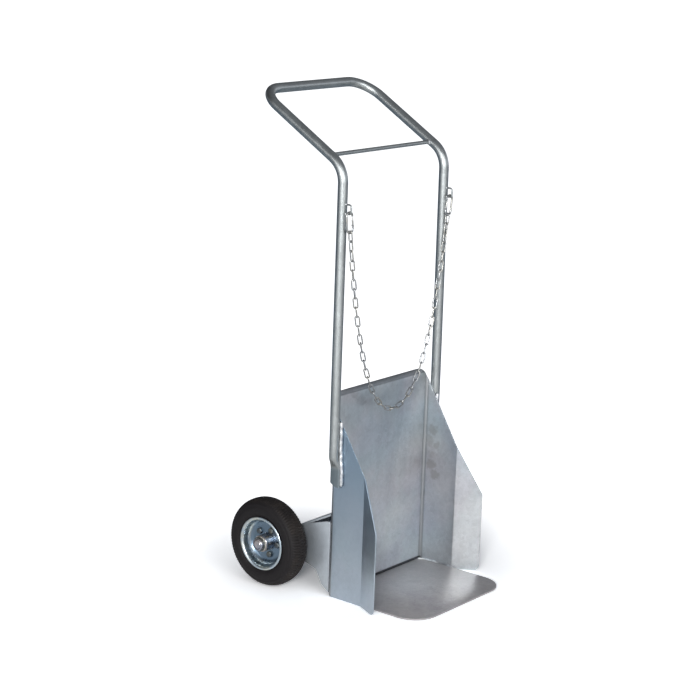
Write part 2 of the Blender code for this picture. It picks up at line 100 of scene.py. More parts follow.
# Scorch marks: distance forward of the rear face, height, radius and strength
SCORCH = ((0.026, 0.322, 0.017, 0.35), (0.019, 0.295, 0.018, 0.30), (0.037, 0.286, 0.014, 0.35),
          (0.027, 0.262, 0.014, 0.25), (0.024, 0.236, 0.019, 0.50), (0.036, 0.218, 0.018, 0.45))

# Tube frame
TUBE_R, TUBE_WALL = 0.011, 0.0020
TUBE_Y = BACK_Y - 0.0168
TUBE_X_LOW, TUBE_X_TOP = 0.1814, 0.1784
STRAIGHT_Z, FLAT_TOP, ROUND_FROM = 0.450, 0.300, 0.330
FLAT_HALF, FLAT_WIDE = 0.0036, 0.0135
END_SLANT, END_LENGTH = 0.009, 0.020
BEND_Z, TUBE_BEND_R = 0.9636, 0.060
GRIP = Vector((0, tube_high.y - TUBE_R, tube_high.z - TUBE_R))

# Hooks and chain
EYE_Z, EYE_HALF, EYE_WIRE = (eye_low.z + eye_high.z) / 2, 0.010, 0.002
HOOK_WIRE, HOOK_L, HOOK_HALF_W = 0.00225, 0.0455, 0.0095
HOOK_TILT = math.radians(7.0)
GATE_HALF, GATE_WIRE, GATE_GAP = 0.0105, 0.0019, 0.0008
LINK_WIRE, LINK_W, LINK_PITCH, LINK_BITE = 0.0016, 0.0121, 0.0216, 0.0023
STRANDS, STRAND_STEP = (6, 6, 7, 7, 7, 6, 6), 0.0019

# Axle carrier and wheels
CARRIER_X, CARRIER_TOP, CARRIER_SLOPE = carrier_high.x, carrier_high.z, 0.51
CHEEK_KNEE = ((0.020, 0.020), (0.038, 0.052))
NOTCH_L, NOTCH_Z, NOSE_R = 0.058, 0.171, 0.024
WHEEL = Vector(((hub_low.x + hub_high.x) / 2, (axle_low.y + axle_high.y) / 2, tyre_high.z / 2))
WHEEL_R = tyre_high.z - WHEEL.z
HUB_R, HUB_BORE, HUB_HALF = 0.0190, 0.0133, 0.0275
AXLE_R, BORE_R = 0.0100, 0.0104
BOLTS, BOLT_R, BOLT_RING, HEX_R = 5, 0.0040, 0.0300, 0.0075
BOLT_TURN = math.radians(68)
LUGS = 92

# The camera, at the photograph's viewing angle
EYE = Vector((-3.25684, -2.52367, 1.53224))
AZIMUTH, DOWN, ROLL = math.radians(-51.19), math.radians(13.63), math.radians(1.84)
LENS = 97.74
LOOK = Vector((-math.sin(AZIMUTH) * math.cos(DOWN), math.cos(AZIMUTH) * math.cos(DOWN), -math.sin(DOWN)))


# ---------------------------------------------------------------- mesh helpers

def piece(name, bm, mat, body, nodes, bevel=0.0, sharp=50):
    """Makes a bmesh a piece of the model: bevels its sharp edges, shades it and ties it to its body."""
    bmesh.ops.recalc_face_normals(bm, faces=bm.faces)
    if bevel:
        edges = [edge for edge in bm.edges
                 if len(edge.link_faces) == 2 and edge.calc_face_angle(0) > math.radians(40)]
        bmesh.ops.bevel(bm, geom=edges, offset=bevel, segments=2, affect="EDGES", profile=0.5,
                        clamp_overlap=True)
    mesh = bpy.data.meshes.new(name)
    bm.to_mesh(mesh)
    bm.free()
    mesh.materials.append(mat)
    mesh.shade_smooth()
    mesh.set_sharp_from_angle(angle=math.radians(sharp))
    obj = bpy.data.objects.new(name, mesh)
    bpy.context.collection.objects.link(obj)
    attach(obj, body)
    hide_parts(*nodes)
    return obj


def skin(rings, closed=False, bm=None):
    """Bridges rings of equally many points; an open row of rings gets its two ends filled."""
    bm = bm or bmesh.new()
    rows = [[bm.verts.new(p) for p in ring] for ring in rings]
    count = len(rows[0])
    pairs = list(zip(rows, rows[1:])) + ([(rows[-1], rows[0])] if closed else [])
    for first, second in pairs:
        for i in range(count):
            j = (i + 1) % count
            bm.faces.new((first[i], first[j], second[j], second[i]))
    if not closed:
        bm.faces.new(rows[0])
        bm.faces.new(rows[-1])
    return bm


def circle(center, u, v, radius, sides, turn=0.0):
    steps = [turn + 2 * math.pi * i / sides for i in range(sides)]
    return [center + u * (radius * math.cos(t)) + v * (radius * math.sin(t)) for t in steps]


def sweep(path, normal, radius, sides, closed=False, bm=None, swell=None):
    """A round wire along a path in the plane with the given normal; swell scales it point by point."""
    normal = Vector(normal).normalized()
    rings = []
    for i, point in enumerate(path):
        before = path[i - 1] if i or closed else path[0]
        after = path[(i + 1) % len(path)] if i + 1 < len(path) or closed else path[-1]
        side = (after - before).normalized().cross(normal)
        here = radius * (swell[i] if swell else 1.0)
        rings.append(circle(point, side, normal, here, sides, math.pi / sides))
    return skin(rings, closed, bm)


def rounded(points, radius, steps):
    """The polyline with every inner corner replaced by an arc."""
    out = [points[0]]
    for before, corner, after in zip(points, points[1:], points[2:]):
        a, b = (before - corner).normalized(), (after - corner).normalized()
        half = a.angle(b) / 2
        center = corner + (a + b).normalized() * (radius / math.sin(half))
        start, end = (corner + d * (radius / math.tan(half)) - center for d in (a, b))
        out += [center + start.slerp(end, k / steps) * radius for k in range(steps + 1)]
    return out + [points[-1]]


def turned(profile, side, sides, bm=None):
    """A solid turned about the axle from a closed profile of (distance outwards from the wheel's
    middle plane, radius) points."""
    rings = []
    for k in range(sides):
        t = math.pi / 2 + 2 * math.pi * k / sides
        rings.append([Vector((side * (WHEEL.x + dx), WHEEL.y + r * math.cos(t), WHEEL.z + r * math.sin(t)))
                      for dx, r in profile])
    return skin(rings, closed=True, bm=bm)


def sleeve(start, end, bore, radius, chamfer):
    """Profile of a ring or tube with chamfered edges."""
    c = chamfer
    return [(start + c, bore), (end - c, bore), (end, bore + c), (end, radius - c), (end - c, radius),
            (start + c, radius), (start, radius - c), (start, bore + c)]


def smooth_step(x):
    x = min(max(x, 0.0), 1.0)
    return x * x * (3 - 2 * x)


def eased(points, rounds=2):
    """Chaikin's corner cutting on an open profile, which keeps its two ends."""
    for _ in range(rounds):
        out = [points[0]]
        for p, q in zip(points, points[1:]):
            out.append(tuple(u * 0.75 + v * 0.25 for u, v in zip(p, q)))
            out.append(tuple(u * 0.25 + v * 0.75 for u, v in zip(p, q)))
        points = out + [points[-1]]
    return points


def carved(bm, *cutters):
    """The bmesh with the cutters taken out of it."""
    made = []
    for part in (bm, *cutters):
        bmesh.ops.recalc_face_normals(part, faces=part.faces)
        mesh = bpy.data.meshes.new("carving")
        part.to_mesh(mesh)
        part.free()
        obj = bpy.data.objects.new("carving", mesh)
        bpy.context.collection.objects.link(obj)
        made.append(obj)
    for tool in made[1:]:
        boolean = made[0].modifiers.new("cut", "BOOLEAN")
        boolean.operation, boolean.object, boolean.solver = "DIFFERENCE", tool, "EXACT"
    out = bmesh.new()
    shape = made[0].evaluated_get(bpy.context.evaluated_depsgraph_get())
    out.from_mesh(shape.to_mesh())
    for obj in made:
        bpy.data.objects.remove(obj)
    return out


def bead(points, radius, lump, bm=None, sides=10):
    """A weld bead along a polyline: one ripple every lump length, with rounded ends."""
    length = sum((q - p).length for p, q in zip(points, points[1:]))
    steps = max(int(length / lump * 6), 8)
    path, swell, walked, start = [], [], 0.0, 0
    for k in range(steps + 1):
        s = length * k / steps
        while start < len(points) - 2 and s > walked + (points[start + 1] - points[start]).length:
            walked += (points[start + 1] - points[start]).length
            start += 1
        leg = points[start + 1] - points[start]
        here = points[start] + leg * min((s - walked) / leg.length, 1.0)
        wander = noise.noise_vector(here * 90) * radius * 0.25
        path.append(here + wander)
        ripple = 0.92 + 0.12 * abs(math.sin(math.pi * s / lump)) + 0.16 * noise.noise(here * 110)
        end = min(s, length - s) / radius
        swell.append(ripple * math.sqrt(min(max(end, 0.04), 1.0)))
    normal = (points[-1] - points[0]).orthogonal()
    return sweep(path, normal, radius, sides, bm=bm, swell=swell)


# ---------------------------------------------------------------- materials

class Nodes:
    """Short ways to add shader nodes to a tree. Inputs are numbers, tuples or other nodes' sockets."""

    def __init__(self, tree):
        self.tree = tree

    def node(self, kind, inputs=(), **settings):
        made = self.tree.nodes.new("ShaderNode" + kind)
        for key, value in settings.items():
            setattr(made, key, value)
        for key, value in dict(inputs).items():
            self.put(made.inputs[key], value)
        return made

    def put(self, socket, value):
        if isinstance(value, bpy.types.NodeSocket):
            self.tree.links.new(value, socket)
        else:
            socket.default_value = value

    def math(self, operation, a, b=0.0, clamp=False):
        return self.node("Math", {0: a, 1: b}, operation=operation, use_clamp=clamp).outputs[0]

    def ramp(self, value, low, high, to_low=0.0, to_high=1.0, curve="LINEAR"):
        inputs = {"Value": value, "From Min": low, "From Max": high, "To Min": to_low, "To Max": to_high}
        return self.node("MapRange", inputs, interpolation_type=curve).outputs[0]

    def remap(self, value, low, high, to_low=0.0, to_high=1.0):
        return self.ramp(value, low, high, to_low, to_high, "SMOOTHSTEP")

    def mix(self, share, a, b, blend="MIX"):
        inputs = {0: share, 6: a, 7: b}
        return self.node("Mix", inputs, data_type="RGBA", blend_type=blend).outputs[2]


class Finish(Nodes):
    """A Principled material whose colour, roughness and bump come from procedural nodes."""

    def __init__(self, name, metal, **constants):
        self.material = bpy.data.materials.new(name)
        self.material.use_nodes = True
        super().__init__(self.material.node_tree)
        self.shader = self.tree.nodes["Principled BSDF"]
        self.place = self.node("TexCoord").outputs["Object"]
        self.shader.inputs["Metallic"].default_value = metal
        for key, value in constants.items():
            self.shader.inputs[key.replace("_", " ")].default_value = value

    def stretched(self, stretch):
        if stretch is None:
            return self.place
        return self.node("Mapping", {"Vector": self.place, "Scale": stretch}).outputs[0]

    def noise(self, scale, detail=3.0, stretch=None):
        inputs = {"Vector": self.stretched(stretch), "Scale": scale, "Detail": detail}
        return self.node("TexNoise", inputs).outputs["Fac"]

    def cells(self, scale, stretch=None):
        """A random value for each grain of the zinc's spangle."""
        grains = self.node("TexVoronoi", {"Vector": self.stretched(stretch), "Scale": scale})
        return self.node("SeparateColor", {0: grains.outputs["Color"]}).outputs[0]

    def total(self, *terms):
        """Sum of (socket, weight) pairs, each socket taken about its middle value of 0.5."""
        out = 0.0
        for value, weight in terms:
            out = self.math("ADD", self.math("MULTIPLY", self.math("SUBTRACT", value, 0.5), weight), out)
        return out

    def finish(self, color, rough, bump=None, depth=0.0002):
        self.put(self.shader.inputs["Base Color"], color)
        self.put(self.shader.inputs["Roughness"], rough)
        if bump:
            made = self.node("Bump", {"Height": bump, "Strength": 1.0, "Distance": depth})
            self.put(self.shader.inputs["Normal"], made.outputs[0])
        return self.material


def rgb(*values):
    return (*values, 1.0)


def scaled(f, color, tone):
    """The colour made lighter or darker by a value around 0."""
    level = f.math("ADD", tone, 1.0)
    grey = f.node("CombineColor", {0: level, 1: level, 2: level}).outputs[0]
    return f.mix(1.0, color, grey, "MULTIPLY")


def zinc_sheet(name, cool, warm, rough, metal=1.0, texture=1.0, marks=None):
    """Dull hot-dip zinc on sheet steel: fine spangle, runs of the bath, clouds of tone."""
    f = Finish(name, metal)
    clouds, patches = f.noise(4.5, 3.0), f.noise(19, 4.0)
    grains, small = f.cells(120), f.cells(310)
    runs = f.noise(34, 3.0, (1.0, 1.0, 0.13))
    grit = f.noise(1100, 2.0)
    color = f.mix(f.remap(clouds, 0.35, 0.65), rgb(*cool), rgb(*warm))
    tone = f.total((grains, 0.10), (small, 0.06), (patches, 0.24), (runs, 0.20), (grit, 0.08))
    color = scaled(f, color, f.math("MULTIPLY", tone, texture))
    level = f.math("ADD", f.total((grains, 0.05), (patches, 0.16), (runs, 0.08)), rough)
    if marks:
        color, level = marks(f, color, level)
    bump = f.total((grains, 0.15), (patches, 0.9), (runs, 0.5), (grit, 0.10))
    return f.finish(color, level, bump, 0.0004 * texture)


def trough_scorch_and_painted_light(f, color, level):
    """Painted blue-grey reflection on the left outside, painted light low inside, painted dark reflection
    on the lip, painted shade in the rear bends, scorching by the welds and a painted shadow line at the
    foot.
    """
    x, y, z = f.node("SeparateXYZ", {0: f.place}).outputs
    hue = f.mix(f.remap(f.noise(8, 3.0), 0.42, 0.58), rgb(1.0, 0.995, 1.0), rgb(0.97, 1.01, 1.0))
    color = f.mix(1.0, color, hue, "MULTIPLY")
    outer = f.remap(x, 0.0008 - HALF_W, 0.0018 - HALF_W, 1.0, 0.0)
    # Painted light: away from the left outside, the sheet is made up to a quarter lighter towards the
    # bottom, standing in for light reflected up from the foot plate.
    low = f.remap(z, 0.0, 0.24, 0.26, 0.0)
    color = scaled(f, color, f.math("MULTIPLY", low, f.math("SUBTRACT", 1.0, outer)))
    # Painted reflection: the left outside and its flare turned blue-grey, more so higher up, standing in
    # for the bluish surround they reflect.
    share = f.math("MULTIPLY", outer, f.remap(z, 0.05, 0.36, 0.35, 1.0))
    color = f.mix(share, color, rgb(0.31, 0.40, 0.49))
    # Painted reflection: a dark band along the back panel's top lip, standing in for the dark overhead it
    # reflects.
    rear = f.remap(y, BACK_Y - 0.008, BACK_Y - 0.004)
    lip = f.math("MULTIPLY", rear, f.remap(z, BACK_H - 0.013, BACK_H - 0.009))
    color = f.mix(f.math("MULTIPLY", lip, 0.75), color, rgb(0.13, 0.14, 0.15))
    # Painted shade: the back panel's two rear bends darkened.
    bend = f.math("MULTIPLY", f.remap(y, BACK_Y - 0.012, BACK_Y - 0.007),
                  f.remap(f.math("ABSOLUTE", x), HALF_W - 0.012, HALF_W - 0.007))
    color = f.mix(f.math("MULTIPLY", bend, 0.75), color, rgb(0.25, 0.26, 0.27))
    # Painted shadow: a near-black line low on the back panel, where it meets the foot plate.
    foot = plate_high.z + 0.0045
    seam = f.math("MULTIPLY", rear, f.remap(z, foot, foot + 0.0015, 1.0, 0.0))
    color = f.mix(f.math("MULTIPLY", seam, 0.85), color, rgb(0.05, 0.05, 0.05))
    scorch = heat_marks(f, x, y, z)
    color = f.mix(scorch, color, rgb(0.26, 0.235, 0.22))
    return color, f.math("ADD", level, f.math("MULTIPLY", scorch, 0.15))


def heat_marks(f, x, y, z):
    """Scorched spots inside the side walls, opposite the welds that hold the uprights."""
    place = f.node("CombineXYZ", {0: f.math("ABSOLUTE", x), 1: y, 2: z}).outputs[0]
    wander = f.total((f.noise(90, 3.0), 0.026))
    marks = 0.0
    for forward, high, radius, strength in SCORCH:
        spot = (HALF_W - SHEET, BACK_Y - forward, high)
        away = f.node("VectorMath", {0: place, 1: spot}, operation="DISTANCE").outputs["Value"]
        mark = f.remap(f.math("ADD", away, wander), 0.35 * radius, radius, strength, 0.0)
        marks = f.math("MAXIMUM", mark, marks)
    inside = f.remap(f.math("ABSOLUTE", x), HALF_W - 0.6 * SHEET, HALF_W - 0.4 * SHEET, 1.0, 0.0)
    return f.math("MULTIPLY", marks, inside)


def zinc_tube(name, color, rough):
    """Galvanised tube: small spangle with drawn streaks along the upright, and a painted dark blue
    reflection on its squashed ends.
    """
    f = Finish(name, 1.0)
    grains, patches = f.cells(260, (1, 1, 0.45)), f.noise(30, 4.0)
    drawn = f.noise(160, 3.0, (1.0, 1.0, 0.05))
    grit = f.noise(1500, 2.0)
    tone = f.total((grains, 0.10), (patches, 0.26), (drawn, 0.16), (grit, 0.08))
    level = f.math("ADD", f.total((grains, 0.05), (patches, 0.16)), rough)
    color = scaled(f, rgb(*color), tone)
    height = f.node("SeparateXYZ", {0: f.place}).outputs[2]
    # Painted reflection: the squashed ends darkened to blue-grey, standing in for the dark surround they
    # reflect.
    flat = f.remap(height, FLAT_TOP - 0.004, FLAT_TOP + 0.010, 0.65, 0.0)
    color = f.mix(flat, color, rgb(0.17, 0.22, 0.25))
    bump = f.total((grains, 0.12), (patches, 0.8), (drawn, 0.3), (grit, 0.08))
    return f.finish(color, level, bump, 0.00022)


def wheel_radius(f):
    """Distance from the wheels' axis."""
    axes = f.node("SeparateXYZ", {0: f.place}).outputs
    dy, dz = f.math("SUBTRACT", axes[1], WHEEL.y), f.math("SUBTRACT", axes[2], WHEEL.z)
    return f.math("SQRT", f.math("ADD", f.math("MULTIPLY", dy, dy), f.math("MULTIPLY", dz, dz)))


def zinc_plating(name, blue, yellow, rough, dirt=0.5, dish=False):
    """Bright passivated zinc: blue with a faint yellow-green cast, dulled in patches. On a rim, the
    dish gets painted shade, darker and bluer than the flange."""
    f = Finish(name, 1.0)
    cast, patches = f.noise(38, 3.0), f.noise(130, 4.0)
    fine, grit = f.noise(900, 2.0), f.noise(2200, 2.0)
    color = f.mix(f.remap(cast, 0.40, 0.62), rgb(*blue), rgb(*yellow))
    color = scaled(f, color, f.total((patches, 0.5 * dirt), (grit, 0.14)))
    if dish:
        # Painted shade: the rim's hollow dish made dark blue inside the flange.
        color = f.mix(f.remap(wheel_radius(f), 0.0465, 0.0515, 0.88, 0.0), color, rgb(0.11, 0.17, 0.24))
    level = f.math("ADD", f.total((patches, 0.30), (cast, 0.15)), rough)
    bump = f.total((patches, 0.9), (fine, 0.3), (grit, 0.15))
    return f.finish(color, level, bump, 0.00015)


def weld_metal():
    """Weld under zinc: lumpy, with sooty hollows."""
    f = Finish("weld_zinc", 1.0)
    lumps, grit = f.noise(110, 3.0), f.noise(1400, 3.0)
    color = f.mix(f.remap(lumps, 0.36, 0.55), rgb(0.46, 0.47, 0.49), rgb(0.64, 0.65, 0.66))
    level = f.math("ADD", f.total((lumps, 0.20), (grit, 0.10)), 0.46)
    return f.finish(color, level, f.total((lumps, 1.0), (grit, 0.2)), 0.0002)


def tyre_rubber():
    """Brown-black solid rubber, greyer where dust has settled in the tread."""
    f = Finish("solid_rubber", 0.0, Specular_IOR_Level=0.22)
    dust, patches, grit = f.noise(24, 4.0), f.noise(90, 4.0), f.noise(1300, 3.0)
    tread = f.remap(wheel_radius(f), WHEEL_R - 0.011, WHEEL_R - 0.004)
    share = f.math("MULTIPLY", tread, f.remap(dust, 0.35, 0.65, 0.25, 0.8))
    color = f.mix(share, rgb(0.0080, 0.0066, 0.0072), rgb(0.022, 0.0175, 0.015))
    color = scaled(f, color, f.total((patches, 0.9), (grit, 0.5)))
    level = f.math("ADD", f.total((patches, 0.25), (dust, 0.15)), 0.62)
    return f.finish(color, level, f.total((patches, 0.8), (grit, 0.5)), 0.0003)


def nylon_white():
    f = Finish("natural_nylon", 0.0, Specular_IOR_Level=0.45)
    clouds, grit = f.noise(120, 3.0), f.noise(1500, 2.0)
    color = scaled(f, rgb(0.62, 0.60, 0.53), f.total((clouds, 0.3), (grit, 0.1)))
    level = f.math("ADD", f.total((clouds, 0.2), (grit, 0.1)), 0.5)
    return f.finish(color, level, f.total((clouds, 0.5), (grit, 0.3)), 0.0001)


# ---------------------------------------------------------------- sheet metal

def wall_top(depth):
    """Height of a side's slanting top edge at a depth forward of the rear face."""
    if depth < WALL_D:
        return CREASE_H + (FOLD_H - CREASE_H) * depth / WALL_D
    return FOLD_H + (SHOULDER_H - FOLD_H) * (depth - WALL_D) / FLARE_Y


def trough_half():
    """The sheet's outline from the centre plane to the right flare's front edge, as rows of
    x, depth, outward normal, bottom and top."""
    flat_end = HALF_W - REAR_BEND_R
    corner = flat_end - (HALF_W - TOP_CORNER)
    rows = [((HALF_W - TOP_CORNER) * k / 10, 0.0, Y, 0.0, BACK_H) for k in range(11)]
    for k in range(1, 9):
        share = k / 8
        rows.append((HALF_W - TOP_CORNER + corner * share, 0.0, Y, 0.0,
                     BACK_H - CORNER_DROP * share * share))
    high = BACK_H - CORNER_DROP
    for k in range(1, 9):
        t = math.pi / 2 * k / 8
        depth = REAR_BEND_R * (1 - math.cos(t))
        high = min(high, wall_top(depth) + BEND_RISE * (1 - k / 8) ** 2)
        rows.append((flat_end + REAR_BEND_R * math.sin(t), depth,
                     Vector((math.sin(t), math.cos(t), 0)), 0.0, high))
    angle = math.atan2(FLARE_X, FLARE_Y)            # how far the flare turns outwards
    tangent = FOLD_R * math.tan(angle / 2)
    straight = WALL_D - tangent - REAR_BEND_R
    for k in range(1, 7):
        depth = REAR_BEND_R + straight * k / 6
        rows.append((HALF_W, depth, X, 0.0, wall_top(depth)))
    for k in range(1, 6):                           # the fold, on an arc of FOLD_R
        t = angle * k / 5
        depth = WALL_D - tangent + FOLD_R * math.sin(t)
        rows.append((HALF_W + FOLD_R * (1 - math.cos(t)), depth,
                     Vector((math.cos(t), math.sin(t), 0)), 0.0, wall_top(depth)))
    slant = math.hypot(FLARE_X, FLARE_Y)
    normal = Vector((math.cos(angle), math.sin(angle), 0))
    first = tangent / slant
    shares = [first + (1 - FLARE_CORNER / slant - first) * k / 6 for k in range(1, 7)]
    shares += [1 - FLARE_CORNER * (1 - math.sin(math.pi / 2 * k / 8)) / slant for k in range(1, 9)]
    for share in shares:
        into_corner = max(1 - (1 - share) * slant / FLARE_CORNER, 0.0)
        low = FLARE_CORNER * (1 - math.sqrt(max(1 - into_corner ** 2, 0.0)))
        depth = WALL_D + FLARE_Y * share
        rows.append((HALF_W + FLARE_X * share, depth, normal, low, wall_top(depth)))
    return rows


def trough_ring(x, depth, normal, low, high):
    """One section of the sheet: up the outside, over the edge and down the inside."""
    lip = smooth_step((HALF_W - REAR_BEND_R - abs(x)) / TOP_CORNER) if depth < 1e-6 else 0.0
    bottom = high - LIP_H
    heights = [low + (bottom - low) * k / 30 for k in range(31)]
    heights += [bottom + LIP_H * k / 5 for k in range(1, 6)]
    outside, inside = [], []
    for z in heights:
        back = LIP_BACK * lip * (max(z - bottom, 0.0) / LIP_H) ** 1.2
        point = Vector((x, BACK_Y - depth + back, z))
        wave = noise.noise(Vector((x * 5, depth * 5, z * 5))) * 2 * WAVE
        wave *= smooth_step((high - z) / 0.03)
        outside.append(point + normal * (wave - WAVE))
        inside.append(point + normal * (wave - SHEET))
    return outside + inside[::-1]


def trough(mat):
    half = trough_half()
    mirrored = [(-x, depth, Vector((-n.x, n.y, 0)), low, high) for x, depth, n, low, high in half[:0:-1]]
    rings = [trough_ring(*row) for row in mirrored + half]
    piece("trough_sheet", skin(rings), mat, "frame", ["trough"], bevel=0.0007)


def foot_plate(mat):
    """Flat plate with two large front corner radii."""
    x, front, rear = plate_high.x, plate_low.y, plate_high.y
    clip = REAR_BEND_R
    outline = rounded([Vector((-x, rear - clip, 0)), Vector((-x, front, 0)), Vector((x, front, 0)),
                       Vector((x, rear - clip, 0))], FOOT_R, 24)
    outline += [Vector((x - clip, rear, 0)), Vector((-x + clip, rear, 0))]
    rings = [[p + Z * z for p in outline] for z in (0.0, plate_high.z)]
    piece("foot_sheet", skin(rings), mat, "frame", ["foot_plate"], bevel=0.0007)


def carrier_top(y):
    return CARRIER_TOP - CARRIER_SLOPE * (y - BACK_Y)


def prism(points, x0, x1):
    return skin([[Vector((x, y, z)) for y, z in points] for x in (x0, x1)])


def carrier(mat):
    """Folded sheet behind the trough: a sloping top with a cheek bent down at each end."""
    y0, y1 = BACK_Y + GAP, carrier_high.y
    outline = [(y0, carrier_low.z)] + [(y0 + back, z) for back, z in CHEEK_KNEE]
    for k in range(17):
        t = math.pi * (1.35 + 0.65 * k / 16)
        outline.append((WHEEL.y + NOSE_R * math.cos(t), WHEEL.z + NOSE_R * math.sin(t)))
    outline += [(y1, carrier_top(y1)), (y0, carrier_top(y0))]
    ahead, behind, below = y0 - 0.02, y1 + 0.05, -0.05
    upright_t = SHEET * math.hypot(1, CARRIER_SLOPE)
    hollow = [(ahead, below), (behind, below), (behind, carrier_top(behind) - upright_t),
              (ahead, carrier_top(ahead) - upright_t)]
    bend_t = 1.5 * SHEET
    notch = [(ahead, NOTCH_Z), (y0 + 0.010, NOTCH_Z), (y0 + NOTCH_L, carrier_top(y0 + NOTCH_L) - bend_t),
             (ahead, carrier_top(ahead) - bend_t)]
    beyond = CARRIER_X + 0.03
    bore = skin([circle(Vector((x, WHEEL.y, WHEEL.z)), Y, Z, AXLE_R + GAP, 40) for x in (-beyond, beyond)])
    inside = CARRIER_X - SHEET
    shape = carved(prism(outline, -CARRIER_X, CARRIER_X), prism(hollow, -inside, inside),
                   prism(notch, -beyond, beyond), bore)
    piece("carrier_sheet", shape, mat, "frame", ["axle_carrier"], bevel=0.0008)


# ---------------------------------------------------------------- tube frame

def roundness(z):
    """0 where an upright's lower end is squashed flat, 1 where it is round."""
    return smooth_step((z - FLAT_TOP) / (ROUND_FROM - FLAT_TOP))


def lower_section(side, z, sides, inset):
    """Section of an upright's lower end at height z: round above, squashed flat below, and cut off
    at a slant at the very end."""
    share = roundness(z)
    half_x = FLAT_HALF + (TUBE_R - FLAT_HALF) * share
    half_y = FLAT_WIDE + (TUBE_R - FLAT_WIDE) * share
    x = side * (TUBE_X_LOW - TUBE_R + half_x)
    half_x, half_y = half_x - inset, half_y - inset
    power = 0.5 + 0.5 * share
    ring = []
    for i in range(sides):
        t = 2 * math.pi * i / sides
        c, s = math.cos(t), math.sin(t)
        reach = half_x * math.copysign(abs(c) ** power, c)
        cut = END_SLANT * (0.5 + 0.5 * s) ** 2 * (1 - smooth_step((z - tube_low.z) / END_LENGTH))
        ring.append(Vector((x + side * reach, TUBE_Y + half_y * s, z + cut)))
    return ring


def tube_frame(mat):
    """One bent tube: squashed lower end, upright, handle leg, grip, and the same back down."""
    start = Vector((-TUBE_X_LOW, TUBE_Y, STRAIGHT_Z))
    bend, corner = Vector((-TUBE_X_TOP, TUBE_Y, BEND_Z)), Vector((-TUBE_X_TOP, GRIP.y, GRIP.z))
    mirror = Matrix.Diagonal((-1, 1, 1))
    path = rounded([start, bend, corner, mirror @ corner, mirror @ bend, mirror @ start],
                   TUBE_BEND_R, 20)
    sides, outer, inner = 32, [], []
    heights = [tube_low.z + 0.004 * k for k in range(19)] + [0.35, 0.40]
    for rings, inset in ((outer, 0.0), (inner, TUBE_WALL)):
        rings += [lower_section(-1, z, sides, inset) for z in heights]
        u = -X
        for i, point in enumerate(path):
            along = (path[min(i + 1, len(path) - 1)] - path[max(i - 1, 0)]).normalized()
            if i in (0, len(path) - 1):
                along = Z if i == 0 else -Z
            u = (u - along * u.dot(along)).normalized()
            rings.append(circle(point, u, u.cross(along), TUBE_R - inset, sides))
        rings += [lower_section(1, z, sides, inset) for z in reversed(heights)]
    shape = skin(outer + inner[::-1], closed=True)
    piece("tube_frame", shape, mat, "frame", ["frame_tube"])


def tube_x(z):
    share = (z - STRAIGHT_Z) / (BEND_Z - STRAIGHT_Z)
    return TUBE_X_LOW + (TUBE_X_TOP - TUBE_X_LOW) * share


def cross_rod(mat, weld):
    """Rod between the handle legs, with a fillet weld round each end."""
    y, z = (rod_low.y + rod_high.y) / 2, (rod_low.z + rod_high.z) / 2
    radius = rod_high.z - z
    xs = (rod_low.x, rod_low.x * 0.5, 0.0, rod_high.x * 0.5, rod_high.x)
    rod = skin([circle(Vector((x, y, z)), Y, Z, radius, 24) for x in xs])
    piece("handle_rod", rod, mat, "frame", ["cross_rod"])
    fillets = bmesh.new()
    sunk = 0.0008                                   # how far a fillet's root lies inside the rod
    profile = ((0.0022, 0.8), (0.0022, 0.9), (-0.0008, 1.0), (-0.0032, 0.55), (-0.0046, 0.0))
    for side in (-1, 1):
        rings = []
        for k in range(24):
            t = 2 * math.pi * k / 24
            out = Y * math.cos(t) + Z * math.sin(t)
            swell = 0.0018 * (1 + 0.3 * math.sin(7 * t))
            base = Vector((side * rod_high.x, y, z))
            rings.append([base + X * (side * dx) + out * (radius - sunk + (swell + sunk) * grow)
                          for dx, grow in profile])
        skin(rings, closed=True, bm=fillets)
    piece("rod_welds", fillets, weld, "frame", [])


def upright_weld(side, label, mat):
    """Lumpy bead in the corner between an upright's lower end and the side wall."""
    x = side * (HALF_W + 0.0037)
    steps = 12
    points = []
    for k in range(steps + 1):
        z = bead_low.z + (bead_high.z - bead_low.z) * k / steps
        points.append(Vector((x, TUBE_Y - 0.0166 + 0.0040 * roundness(z), z)))
    shape = bead(points, 0.0041, 0.0185, sides=14)
    piece("weld_line_" + label, shape, mat, "frame", ["weld_bead_" + label])


def other_welds(mat):
    """Short beads: foot plate to trough, axle carrier to trough."""
    foot = bmesh.new()
    inside = HALF_W - SHEET
    z = plate_high.z + 0.0002
    for side in (-1, 1):
        rear = Vector((side * (inside - 0.012), BACK_Y - SHEET - 0.001, z))
        turn = Vector((side * (inside - 0.001), BACK_Y - SHEET - 0.012, z))
        ahead = Vector((side * (inside - 0.0005), BACK_Y - SHEET - 0.050, z))
        bead([rear, turn, ahead], 0.0026, 0.011, bm=foot)
        tack = Vector((side * (inside - 0.0005), BACK_Y - WALL_D + 0.014, z))
        bead([tack, tack - Y * 0.016], 0.0022, 0.008, bm=foot)
    piece("foot_welds", foot, mat, "frame", [])
    back = bmesh.new()
    for middle in (-0.125, 0.0, 0.125):
        seam = Vector((middle, BACK_Y + 0.0012, CARRIER_TOP + 0.0004))
        bead([seam - X * 0.022, seam + X * 0.022], 0.0026, 0.009, bm=back)
    piece("carrier_welds", back, mat, "frame", [])


# ---------------------------------------------------------------- hooks and chain

